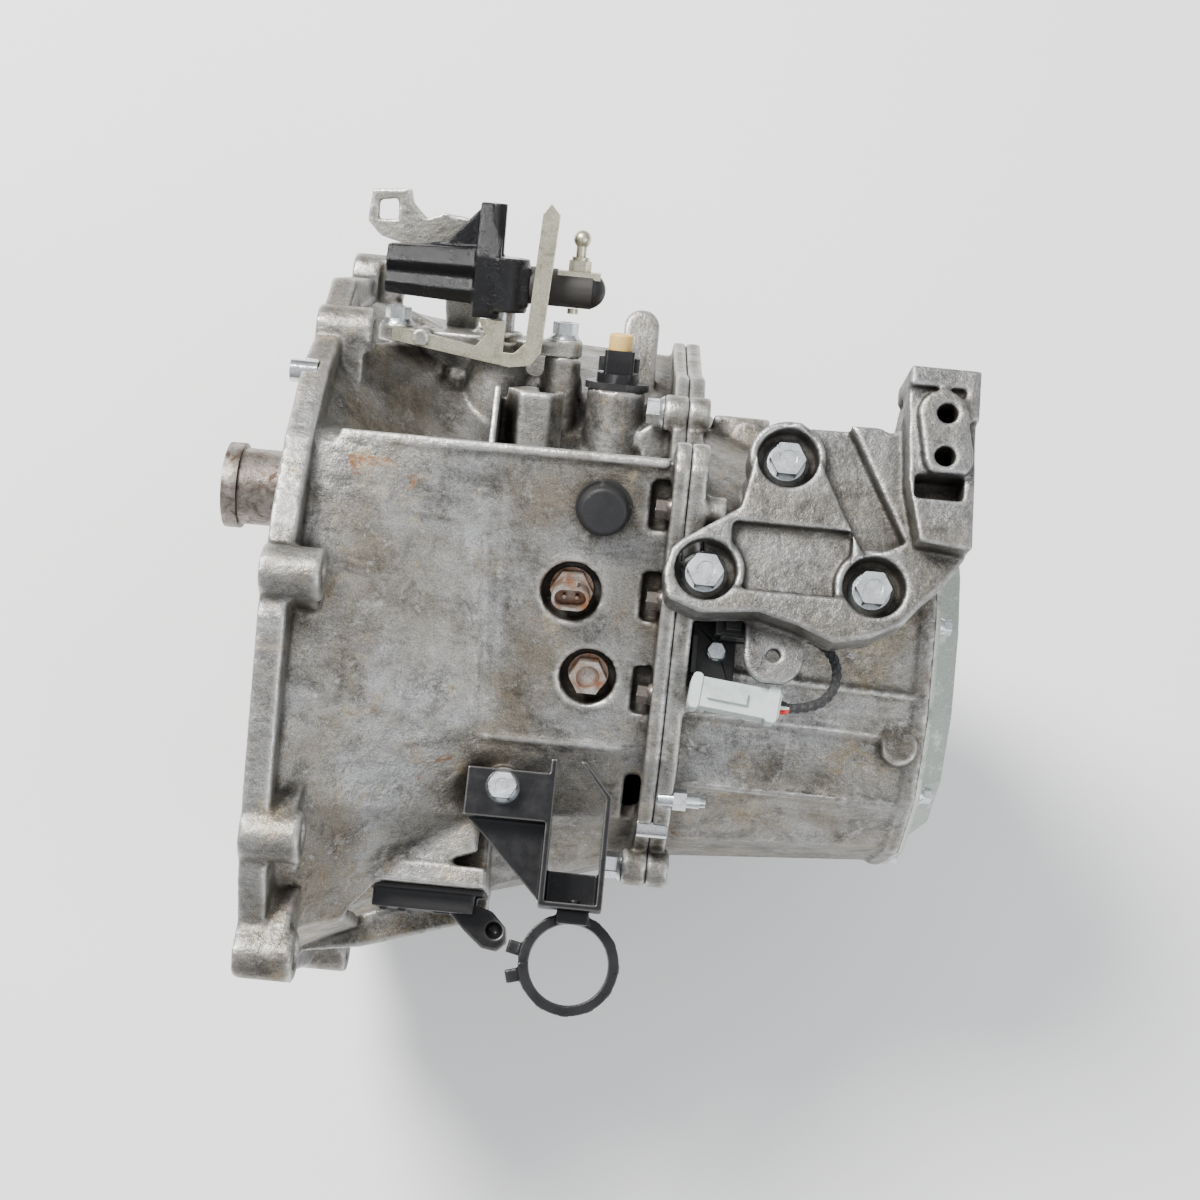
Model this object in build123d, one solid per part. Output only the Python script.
from build123d import *
import math
import os

# Five-speed transverse manual transmission with a built-in final drive.
# X runs from the engine mating face to the end cover, Y to the rear, Z up. Millimetres.
# Pairs below are (y, z) positions in a plane across the shafts unless a comment says otherwise.

# shaft layout
INPUT_AXIS = (0.0, 0.0)
OUTPUT_AXIS = (-4.0, -72.0)
FINAL_AXIS = (104.0, -120.0)
RAIL_AXIS = (64.0, 4.0)

# main planes along the shafts
BELL_START = 14.0
SHOULDER_X = 62.0
BULKHEAD_FRONT = 112.0
BULKHEAD_REAR = 128.0
JOINT_X = 203.0
FLANGE_CLUTCH_SIDE = 195.0
FLANGE_GEAR_SIDE = 212.0
FINAL_BOSS_END = 264.0
REAR_WALL_FRONT = 310.0
REAR_WALL_BACK = 326.0
COVER_X = 344.0
COVER_THICKNESS = 2.5
COVER_DEPTH = 16.0
WALL = 8.0

# the slanted panel of the clutch housing and everything square to it
TILT = 25.0
PANEL_EDGE = (64.0, 160.0)

# teeth: (driving teeth, driven teeth) for each pair
FIRST_TEETH = (12, 41)
SECOND_TEETH = (19, 36)
THIRD_TEETH = (28, 35)
FOURTH_TEETH = (33, 31)
FIFTH_TEETH = (38, 29)
REVERSE_TEETH = (13, 18, 37)
REVERSE_MODULE = 2.6
FINAL_TEETH = (18, 73)
BEVEL_MODULE = 4.0
BEVEL_TEETH = (16, 10)
PRESSURE_ANGLE = math.radians(20)
BACKLASH = 0.13

# axial places of the gears
PINION_X = (150.0, 178.0)
RING_X = (150.0, 176.0)
REVERSE_X = (185.0, 195.0)
IDLER_X = (166.0, 177.0)
FIRST_X = (198.0, 211.0)
HUB_LOW_X = (217.3, 231.3)
SECOND_X = (237.6, 250.6)
THIRD_X = (254.0, 266.0)
HUB_HIGH_X = (272.3, 286.3)
FOURTH_X = (292.6, 304.6)
FIFTH_X = (328.0, 339.0)
HUB_TOP_X = (344.8, 354.8)
DOG_WIDTH = 3.0
RING_GAP = 0.3
BLOCKER_WIDTH = 2.7

# synchroniser hub, sleeve and dog sizes
HUB_ROOT_R = 33.8
HUB_TIP_R = 35.8
SPLINE_FIT = 0.08
SLEEVE_R = 44.0
GROOVE_R = 39.5
GROOVE_WIDTH = 6.0
DOG_R = 33.4
HUB_SPLINES = 24

# shafts and bearings
RUNNING_GAP = 0.05
INPUT_NOSE_X = -12.0
INPUT_NOSE_R = 8.0
CLUTCH_SPLINE_R = 12.0
INPUT_R = 13.0
INPUT_GEAR_R = 15.0
FIFTH_SEAT_R = 13.0
OUTPUT_R = 17.0
BEARING_WIDTH = 14.0
FRONT_BEARING_X = 130.0
REAR_BEARING_X = 311.0
INPUT_BEARING = (13.0, 31.0)
OUTPUT_BEARING = (15.0, 34.0)
FINAL_BEARING = (24.0, 40.0)
FINAL_LEFT_BEARING_X = 131.0
FINAL_RIGHT_BEARING_X = 245.0

# differential
FINAL_CENTRE_X = 212.0
FINAL_CASE_R = 49.0
FINAL_CAVITY_R = 40.6
FINAL_CAVITY_HALF = 26.0
FINAL_BODY_X = (176.0, 240.0)
RING_FLANGE_X = 183.5
RING_FLANGE_R = 82.0
RING_BORE_R = 62.0
RING_BOLT_CIRCLE = 72.0
TRUNNION_R = 24.0
TRUNNION_X = (131.0, 259.0)
FINAL_BORE_R = 17.3
SIDE_HUB_R = 17.2
DRIVESHAFT_R = 13.0
PLANET_PIN_R = 7.0

# release gear
GUIDE_R = (15.0, 17.5)
GUIDE_X = (52.0, 108.0)
RELEASE_BEARING_X = (67.7, 83.7)
RELEASE_BEARING_R = 31.0
FORK_PIVOT = (100.0, -66.0)
FORK_Z = 30.0
PIVOT_R = 6.0

# fasteners
BOLT_HEX = 13.0
BOLT_R = 4.0
BOLT_WASHER_R = 9.0
SLOT_BOLT_HEX = 10.0
SLOT_WASHER_R = 6.5
SMALL_HEX = 8.0
SMALL_R = 3.0
SMALL_WASHER_R = 5.5
MOUNT_BOLT_R = 5.0
MOUNT_BOLT_HEX = 16.0
DOWEL_R = 6.0

# mount bracket
BRACKET_UNDER = 142.0
BRACKET_TOP = 168.0
PAD_TOP = 190.0
MOUNT_HOLE_R = 5.1

# hose clamp
CLAMP_CENTRE = (165.7, -185.6)
CLAMP_INNER_R = 21.0
CLAMP_OUTER_R = 26.5

# wiring
LOOM_R = 2.7
WIRE_R = 1.1
WIRE_PITCH = 2.3
WIRE_LENGTH = 3.4
WIRING_Z = 117.0

# outlines across the shafts, all with the same number of corners so that they loft
BELL_OUTLINE = [
    (64, 158), (57, 162), (-66, 158), (-122, 140), (-187, 95), (-192, -10),
    (-175, -95), (-80, -185), (30, -206), (150, -200), (190, -150), (204, -80),
    (204, -30), (196, 20), (166, 84), (112, 124), (78, 142),
]
SHOULDER_OUTLINE = [
    (66, 157), (60.5, 161), (-70, 127), (-117, 103), (-167, 52), (-169, -35),
    (-143, -122), (-55, -195), (35, -217), (150, -214), (197, -164), (208, -100),
    (203, -45), (178, 6), (144, 44), (100, 70), (74, 92),
]
MIDDLE_OUTLINE = [
    (68, 156), (64, 160), (-74, 95.65), (-112, 66), (-148, 10), (-146, -60),
    (-112, -150), (-30, -205), (40, -228), (150, -228), (205, -178), (212, -120),
    (203, -60), (170, 2), (140, 30), (97, 52), (73, 70),
]
JOINT_OUTLINE = [
    (68, 156), (64, 160), (-74, 95.65), (-104, 62), (-120, 10), (-120, -60),
    (-96, -145), (-30, -205), (40, -228), (150, -228), (205, -178), (212, -120),
    (200, -60), (152, 2), (130, 30), (97, 52), (73, 70),
]
GEAR_CASE_OUTLINE = [
    (60, 112), (10, 116), (-45, 104), (-88, 76), (-112, 30), (-117, -40),
    (-104, -110), (-60, -150), (10, -165), (80, -150), (112, -100), (126, -40),
    (132, 20), (118, 62), (96, 88), (76, 104),
]
REAR_OUTLINE = [
    (48, 84), (10, 88), (-40, 80), (-80, 56), (-104, 16), (-107, -40),
    (-94, -90), (-54, -122), (0, -130), (50, -120), (80, -86), (92, -40),
    (94, 8), (88, 40), (76, 62), (62, 76),
]
ENGINE_FLANGE_OUTLINE = [
    (205, 12), (172, 92), (134, 116), (100, 148), (58, 168), (20, 176),
    (-36, 178), (-77, 166), (-124, 152), (-160, 136), (-196, 108), (-203, 4),
    (-200, -60), (-185, -110), (-140, -165), (-80, -205), (-40, -228), (110, -228),
    (165, -205), (200, -150), (213, -80), (213, -30),
]
JOINT_FLANGE_OUTLINE = [
    (74, 168), (58, 172), (-80, 107), (-114, 70), (-128, 14), (-128, -64),
    (-104, -152), (-84, -228), (165, -228), (213, -184), (220, -122),
    (208, -56), (164, 14), (146, 58), (104, 80), (84, 92),
]


def meeting_point(axis_a, distance_a, axis_b, distance_b):
    """The (y, z) place at the given distances from two shafts, on the front side of them."""
    span = math.dist(axis_a, axis_b)
    along = (span ** 2 + distance_a ** 2 - distance_b ** 2) / (2 * span)
    aside = math.sqrt(distance_a ** 2 - along ** 2)
    step_y = (axis_b[0] - axis_a[0]) / span
    step_z = (axis_b[1] - axis_a[1]) / span
    return (axis_a[0] + along * step_y + aside * step_z, axis_a[1] + along * step_z - aside * step_y)


IDLER_AXIS = meeting_point(
    INPUT_AXIS, (REVERSE_TEETH[0] + REVERSE_TEETH[1]) * REVERSE_MODULE / 2,
    OUTPUT_AXIS, (REVERSE_TEETH[1] + REVERSE_TEETH[2]) * REVERSE_MODULE / 2,
)


def across(x):
    """The plane square to the shafts at x, with local x along Y and local y along Z."""
    return Plane(origin=(x, 0, 0), x_dir=(0, 1, 0), z_dir=(1, 0, 0))


def shaft_plane(axis, x):
    return Plane(origin=(x, axis[0], axis[1]), x_dir=(0, 1, 0), z_dir=(1, 0, 0))


def engine_facing(x, spot):
    """The plane across the shafts at x and (y, z) spot that faces the engine."""
    return Plane(origin=(x, spot[0], spot[1]), x_dir=(0, -1, 0), z_dir=(-1, 0, 0))


def plan_slab(corners, bottom, top):
    """A level slab given by its (x, y) corners."""
    face = Face(Wire.make_polygon([Vector(x, y, bottom) for x, y in corners], close=True))
    return extrude(face, amount=top - bottom, dir=(0, 0, 1))


def panel_plane(x, y, z):
    """A plane whose normal is the normal of the slanted panel."""
    slant = math.radians(TILT)
    return Plane(origin=(x, y, z), x_dir=(1, 0, 0), z_dir=(0, -math.sin(slant), math.cos(slant)))


def tower_plane(x, y, z):
    """A plane whose normal is the selector shaft direction, rearward and a little up."""
    slant = math.radians(TILT)
    return Plane(origin=(x, y, z), x_dir=(1, 0, 0), z_dir=(0, math.cos(slant), math.sin(slant)))


def upright(x, y, z):
    return Plane(origin=(x, y, z), x_dir=(1, 0, 0), z_dir=(0, 0, 1))


def inset(points, distance):
    """The outline moved inward by distance, each corner kept as a sharp corner."""
    area = 0.0
    for (ay, az), (by, bz) in zip(points, points[1:] + points[:1]):
        area += ay * bz - by * az
    side = 1.0 if area > 0 else -1.0
    moved = []
    for index, here in enumerate(points):
        before = Vector(*points[index - 1])
        after = Vector(*points[(index + 1) % len(points)])
        corner = Vector(*here)
        into = (corner - before).normalized()
        out = (after - corner).normalized()
        normal_in = Vector(-into.Y, into.X) * side
        normal_out = Vector(-out.Y, out.X) * side
        middle = (normal_in + normal_out).normalized()
        reach = distance / max(0.5, middle.dot(normal_in))
        place = corner + middle * reach
        moved.append((place.X, place.Y))
    return moved


def outline_face(points, plane):
    corners = [plane.from_local_coords(Vector(a, b, 0)) for a, b in points]
    return Face(Wire.make_polygon(corners, close=True))


def loft_between(points_a, x_a, points_b, x_b):
    return Solid.make_loft(
        [outline_face(points_a, across(x_a)).outer_wire(), outline_face(points_b, across(x_b)).outer_wire()],
        ruled=True,
    )


def plate(points, x_a, x_b, corner_r=0.0):
    """A plate across the shafts from x_a to x_b with its corners rounded."""
    face = outline_face(points, across(x_a))
    if corner_r > 0:
        face = face.fillet_2d(corner_r, face.vertices())
    return extrude(face, amount=x_b - x_a, dir=(1, 0, 0))


def rod(plane, radius, start, end):
    """A cylinder along the plane's normal from start to end."""
    base = plane.offset(start)
    return extrude(base * Circle(radius), amount=end - start, dir=plane.z_dir)


def tube(plane, outer, inner, start, end):
    return rod(plane, outer, start, end) - rod(plane, inner, start, end)


def prism(plane, across_flats, start, end):
    base = plane.offset(start)
    face = base * RegularPolygon(across_flats / 2, 6, major_radius=False)
    return extrude(face, amount=end - start, dir=plane.z_dir)


def block(x_range, y_range, z_range):
    size = (x_range[1] - x_range[0], y_range[1] - y_range[0], z_range[1] - z_range[0])
    centre = (sum(x_range) / 2, sum(y_range) / 2, sum(z_range) / 2)
    return Pos(*centre) * Box(*size)


def flange_bolt(plane, length, hex_size=BOLT_HEX, radius=BOLT_R, washer_r=BOLT_WASHER_R):
    """A flanged hexagon bolt whose washer face lies on the plane and whose shank points inward."""
    head = prism(plane, hex_size, 2.0, 2.0 + hex_size * 0.55)
    crown = rod(plane, hex_size * 0.56, 1.0, 2.0 + hex_size * 0.55)
    washer = Solid.make_cone(washer_r, washer_r * 0.8, 2.5, plane)
    dimple = rod(plane, hex_size * 0.28, 1.2 + hex_size * 0.55, 3.0 + hex_size * 0.55)
    shank = rod(plane, radius, -length, 0.5)
    tip = Solid.make_cone(radius - 0.8, radius, 1.5, plane.offset(-length - 1.5))
    return (head & crown) + washer + shank + tip - dimple


# ---------------------------------------------------------------- gears


def involute(angle):
    return math.tan(angle) - angle


def gear_points(teeth, module, phase_deg, addendum=0.9, dedendum=1.2, backlash=BACKLASH):
    """Corner points of an involute gear outline with one tooth centred on phase_deg."""
    pitch_r = teeth * module / 2
    base_r = pitch_r * math.cos(PRESSURE_ANGLE)
    tip_r = pitch_r + addendum * module
    root_r = pitch_r - dedendum * module
    half_at_pitch = math.pi / (2 * teeth) * (1 - backlash)
    flank_start = max(base_r, root_r)
    points = []
    for tooth in range(teeth):
        middle = math.radians(phase_deg) + 2 * math.pi * tooth / teeth
        left = []
        for share in (0.0, 0.35, 0.7, 1.0):
            radius = flank_start + (tip_r - flank_start) * share
            slope = math.acos(min(1.0, base_r / radius))
            half = half_at_pitch + involute(PRESSURE_ANGLE) - involute(slope)
            left.append((radius, half))
        if root_r < flank_start - 0.05:
            left.insert(0, (root_r, left[0][1] * 0.85))
        for radius, half in left:
            points.append((radius * math.cos(middle - half), radius * math.sin(middle - half)))
        for radius, half in reversed(left):
            points.append((radius * math.cos(middle + half), radius * math.sin(middle + half)))
    return points


def mesh_angle(axis_from, axis_to):
    """Direction in degrees from one shaft to another in the plane across the shafts."""
    return math.degrees(math.atan2(axis_to[1] - axis_from[1], axis_to[0] - axis_from[0]))


def spur_gear(axis, x_range, teeth, module, phase_deg, bore_r=0.0):
    plane = shaft_plane(axis, x_range[0])
    face = outline_face(gear_points(teeth, module, phase_deg), plane)
    gear = extrude(face, amount=x_range[1] - x_range[0], dir=(1, 0, 0))
    if bore_r > 0:
        gear = gear - rod(plane, bore_r, -1, x_range[1] - x_range[0] + 1)
    return gear


def driver_phase(axis, partner):
    """A tooth points straight at the partner."""
    return mesh_angle(axis, partner)


def driven_phase(axis, partner, teeth):
    """A gap points straight at the partner."""
    return mesh_angle(axis, partner) + 180 / teeth


def pair_module(teeth, axis_a, axis_b):
    distance = math.dist(axis_a, axis_b)
    return 2 * distance / (teeth[0] + teeth[1])


def spline_points(root_r, tip_r, count, land, phase_deg=0.0):
    """Corner points of a straight-sided spline; land is the tooth share of the pitch."""
    points = []
    half = math.pi / count * land
    for tooth in range(count):
        middle = math.radians(phase_deg) + 2 * math.pi * tooth / count
        for radius, turn in ((root_r, -half), (tip_r, -half), (tip_r, half), (root_r, half)):
            points.append((radius * math.cos(middle + turn), radius * math.sin(middle + turn)))
    return points


def splined_rod(plane, root_r, tip_r, count, land, start, end):
    face = outline_face(spline_points(root_r, tip_r, count, land), plane.offset(start))
    return extrude(face, amount=end - start, dir=plane.z_dir)


def web_recess(plane, inner_r, outer_r, depth, start):
    """A shallow ring cut that leaves a thinner web between hub and rim."""
    return tube(plane, outer_r, inner_r, start, start + depth)


def blocker_ring(axis, start, bore_r):
    plane = shaft_plane(axis, start)
    ring = splined_rod(plane, DOG_R - 1.8, DOG_R - 0.2, HUB_SPLINES, 0.45, 0, BLOCKER_WIDTH)
    return ring - rod(plane, bore_r, -1, BLOCKER_WIDTH + 1)


def synchro_hub(axis, x_range, bore_r):
    plane = shaft_plane(axis, x_range[0])
    width = x_range[1] - x_range[0]
    hub = splined_rod(plane, HUB_ROOT_R, HUB_TIP_R, HUB_SPLINES, 0.5, 0, width)
    hub = hub - rod(plane, bore_r, -1, width + 1)
    hub = hub - web_recess(plane, bore_r + 5, HUB_ROOT_R - 4, 3, -0.01)
    return hub - web_recess(plane, bore_r + 5, HUB_ROOT_R - 4, 3.01, width - 3)


def synchro_sleeve(axis, x_range):
    plane = shaft_plane(axis, x_range[0])
    width = x_range[1] - x_range[0]
    body = rod(plane, SLEEVE_R, 0, width)
    middle = width / 2
    groove = tube(plane, SLEEVE_R + 1, GROOVE_R, middle - GROOVE_WIDTH / 2, middle + GROOVE_WIDTH / 2)
    gap_land = 0.5 + SPLINE_FIT * HUB_SPLINES / (math.pi * HUB_TIP_R)
    root_r = HUB_ROOT_R + SPLINE_FIT
    tip_r = HUB_TIP_R + SPLINE_FIT
    bore = splined_rod(plane, root_r, tip_r, HUB_SPLINES, gap_land, -1, width + 1)
    return body - groove - bore


# ---------------------------------------------------------------- bearings


def ball_bearing(axis, start, radii, width=BEARING_WIDTH, count=9):
    """Returns the inner ring with its balls and the outer ring of a ball bearing."""
    inner_r, outer_r = radii
    plane = shaft_plane(axis, start)
    pitch_r = (inner_r + outer_r) / 2
    ball_r = (outer_r - inner_r) * 0.29
    shoulder = (outer_r - inner_r) * 0.19
    groove = Solid.make_torus(pitch_r, ball_r + RUNNING_GAP, plane.offset(width / 2))
    inner = tube(plane, pitch_r - shoulder, inner_r, 0, width) - groove
    outer = tube(plane, outer_r, pitch_r + shoulder, 0, width) - groove
    balls = []
    for index in range(count):
        turn = 2 * math.pi * index / count
        spot = plane.from_local_coords(Vector(pitch_r * math.cos(turn), pitch_r * math.sin(turn), width / 2))
        balls.append(Pos(*spot) * Sphere(ball_r))
    return [inner] + balls, outer


# ---------------------------------------------------------------- castings


def polar_spots(axis, radius, angles):
    return [
        (axis[0] + radius * math.cos(math.radians(a)), axis[1] + radius * math.sin(math.radians(a)))
        for a in angles
    ]


# bolt places on the joint between the two castings
JOINT_BOLTS = [(-92, -200), (-20, -217), (190, -212)]
# the same joint, bolted from the clutch housing side
REVERSED_BOLTS = [(119, 73), (218, -161), (-130, 40), (-119, -122)]
# slots beside the panel: (middle y of the slot, half length), each with a bolt from the clutch housing side
PANEL_SLOTS = [(44.0, 13.0), (1.0, 13.0), (-44.0, 13.0)]
SLOT_BOLT_LIFT = 4.5
ENGINE_BOLTS = [
    (205, 15), (135, 112), (-14, 178), (-138, 139), (-195, 112), (-188, -108), (-60, -214), (192, -160),
]
ENGINE_DOWELS = [(100, 142), (-198, -40)]
JOINT_DOWELS = [(-110, 68), (208, -140)]


def slot_bolt_spot(middle_y):
    """Where a slot bolt runs: a little outside the panel surface."""
    x, y, z = panel_point(JOINT_X, middle_y)
    slant = math.radians(TILT)
    return (y - SLOT_BOLT_LIFT * math.sin(slant), z + SLOT_BOLT_LIFT * math.cos(slant))


def engine_lug(spot):
    """A half-round lug that runs along the bell from the engine face."""
    plane = shaft_plane(spot, 0)
    inward = Vector(-spot[0], -spot[1]).normalized()
    lug = rod(plane, 13, 0, 30)
    corner = (spot[0] + inward.X * 22, spot[1] + inward.Y * 22)
    lug = lug + rod(shaft_plane(corner, 0), 15, 0, 26)
    side = Vector(-inward.Y, inward.X)
    web = [
        (spot[0] + side.X * 13, spot[1] + side.Y * 13),
        (spot[0] - side.X * 13, spot[1] - side.Y * 13),
        (corner[0] - side.X * 15, corner[1] - side.Y * 15),
        (corner[0] + side.X * 15, corner[1] + side.Y * 15),
    ]
    return lug + plate(web, 0, 26)


def bell_shell():
    """The outer skin of the clutch housing, from the engine flange to the joint."""
    bell = loft_between(BELL_OUTLINE, BELL_START - 6, SHOULDER_OUTLINE, SHOULDER_X)
    bell = bell + loft_between(SHOULDER_OUTLINE, SHOULDER_X, MIDDLE_OUTLINE, BULKHEAD_FRONT + 3)
    middle = loft_between(MIDDLE_OUTLINE, BULKHEAD_FRONT + 3, JOINT_OUTLINE, JOINT_X)
    flange = plate(ENGINE_FLANGE_OUTLINE, 0, BELL_START, 8)
    joint = plate(JOINT_FLANGE_OUTLINE, FLANGE_CLUTCH_SIDE, JOINT_X, 6)
    return bell + middle + flange + joint


def cavity_outline(outline):
    """The inner outline of the clutch housing; the short first edge of the outline is left out."""
    return inset(outline[1:], WALL)


def bell_cavities():
    """The dry clutch space and the front part of the gear space."""
    bell = cavity_outline(BELL_OUTLINE)
    shoulder = cavity_outline(SHOULDER_OUTLINE)
    middle = cavity_outline(MIDDLE_OUTLINE)
    joint = cavity_outline(JOINT_OUTLINE)
    mouth = plate(bell, -1, BELL_START)
    clutch = loft_between(bell, BELL_START, shoulder, SHOULDER_X)
    clutch = clutch + loft_between(shoulder, SHOULDER_X, middle, BULKHEAD_FRONT)
    gears = loft_between(middle, BULKHEAD_REAR, joint, JOINT_X + 1)
    return mouth + clutch, gears


SENSOR_BASE = (162.0, 102.5, 42.0)
SENSOR_LENGTH = 36.0
SELECTOR_BASE = (93.0, 159.0, 60.0)


def selector_spot(dx, along):
    """A point on the selector tower: dx along X, along the shaft direction from the base plate."""
    slant = math.radians(TILT)
    x, y, z = SELECTOR_BASE
    return (x + dx, y + along * math.cos(slant), z + along * math.sin(slant))


def clutch_housing_bosses():
    """Bosses, towers and ribs on the outside of the clutch housing."""
    sensor = rod(tower_plane(*SENSOR_BASE), 16.5, -30, SENSOR_LENGTH)
    notch_boss = prism(tower_plane(118, 96, 66), 28, -25, 30)
    notch = Pos(124, 126, 78) * Box(9, 14, 40)
    tower = rod(tower_plane(*SELECTOR_BASE), 16.5, -62, -8)
    left_boss = rod(tower_plane(*selector_spot(SELECTOR_BOLTS[0], 0)), 12, -60, -8)
    right_boss = rod(tower_plane(*selector_spot(SELECTOR_BOLTS[1], 0)), 10.5, -52, -8)
    rear_rib = block((96, 99.5), (76, 118), (60, 98))
    wall_rib = block((66, 142), (134, 142), (10, 50))
    rear_lug = block((163, 184), (140, 196), (-8, 6)) + Pos(173.5, 194, -1) * Cylinder(10.5, 14)
    gusset_a = block((178, 196), (112, 134), (10, 44))
    pad = Pos(186, 112, 44) * Rot(TILT, 0, 0) * Cylinder(10, 30)
    fork_pad = block((44, 118), (-151, -140), (-14, 72)) + block((74, 118), (-151, -116), (0, 58))
    support_boss = rod(upright(*SUPPORT_BOLT), 11, -50, 0)
    upper_shelf = plan_slab([(10, -130), (10, -161), (45, -157), (112, -132), (112, -105)], 64, 70)
    lower_shelf = plan_slab([(10, -150), (10, -192), (48, -186), (118, -164), (118, -140)], -14, -8)
    ridge = block((26, 192), (61, 66), (150, 162))
    rings = rod(panel_plane(*panel_point(SWITCH_SPOT[0], SWITCH_SPOT[1])), SWITCH_SPOT[2], -4, 0.8)
    rings = rings + rod(panel_plane(*panel_point(LEVEL_SPOT[0], LEVEL_SPOT[1])), LEVEL_SPOT[2], -4, 0.8)
    return (
        sensor + (notch_boss - notch) + tower + left_boss + right_boss
        + rear_rib + wall_rib + rear_lug + gusset_a + pad + fork_pad + support_boss + ridge + rings
        + upper_shelf + lower_shelf
    )


def outer_trim():
    """Space that must stay empty outside: the pocket of the release fork and the slots at the joint."""
    fork_pocket = block((46, 117), (-215, -151), (-6, 66))
    slots = block((186, FLANGE_CLUTCH_SIDE), (-112, -84), (60, 130))
    for middle_y, half in PANEL_SLOTS:
        plane = panel_plane(*panel_point(190, middle_y))
        slots = slots + plane * Pos(0, 0, 11) * Box(10, 2 * half, 32)
    return fork_pocket, slots


def clutch_housing():
    shell = bell_shell()
    for spot in ENGINE_BOLTS:
        shell = shell + engine_lug(spot)
    for spot in JOINT_BOLTS + REVERSED_BOLTS:
        shell = shell + rod(shaft_plane(spot, JOINT_X), 10, -14, 0)
    fork_pocket, slots = outer_trim()
    selector_space = side_plate([(-77, -8), (58, -8), (58, 90), (-77, 90)], -52, 28)
    shell = shell - selector_space + clutch_housing_bosses() - fork_pocket
    fork_wall = block((40, 118), (-151, -142), (-16, 74))
    final_tube = rod(shaft_plane(FINAL_AXIS, 0), 33, 0, BULKHEAD_REAR)
    final_end = FINAL_LEFT_BEARING_X + BEARING_WIDTH
    front_end = FRONT_BEARING_X + BEARING_WIDTH
    final_seat = rod(shaft_plane(FINAL_AXIS, 0), FINAL_BEARING[1] + 8, BULKHEAD_FRONT, final_end)
    output_seat = rod(shaft_plane(OUTPUT_AXIS, 0), OUTPUT_BEARING[1] + 7, BULKHEAD_FRONT, front_end)
    input_seat = rod(shaft_plane(INPUT_AXIS, 0), INPUT_BEARING[1] + 7, BULKHEAD_FRONT - 4, front_end)
    rail_seat = rod(shaft_plane(RAIL_AXIS, 0), 12, BULKHEAD_FRONT, 140)
    idler_seat = rod(shaft_plane(IDLER_AXIS, 0), 14, BULKHEAD_FRONT, 150)
    tower_core = rod(tower_plane(*SELECTOR_BASE), 16, -62, -8)
    pivot_pad = rod(shaft_plane((FORK_PIVOT[1], FORK_Z), 0), 13, FORK_PIVOT[0] + 6, BULKHEAD_REAR)
    wells = [
        rod(panel_plane(*panel_point(spot[0], spot[1])), spot[3] + 5, -WELL_DEPTH - 9, 0)
        for spot in (SWITCH_SPOT, LEVEL_SPOT)
    ]
    seats = [final_tube, final_seat, output_seat, input_seat, rail_seat, idler_seat]
    kept = wells + seats + [fork_wall, tower_core, pivot_pad]
    for cavity in bell_cavities():
        for body in kept:
            cavity = cavity - body
        shell = shell - cavity
    return shell - slots - clutch_housing_holes()


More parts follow.
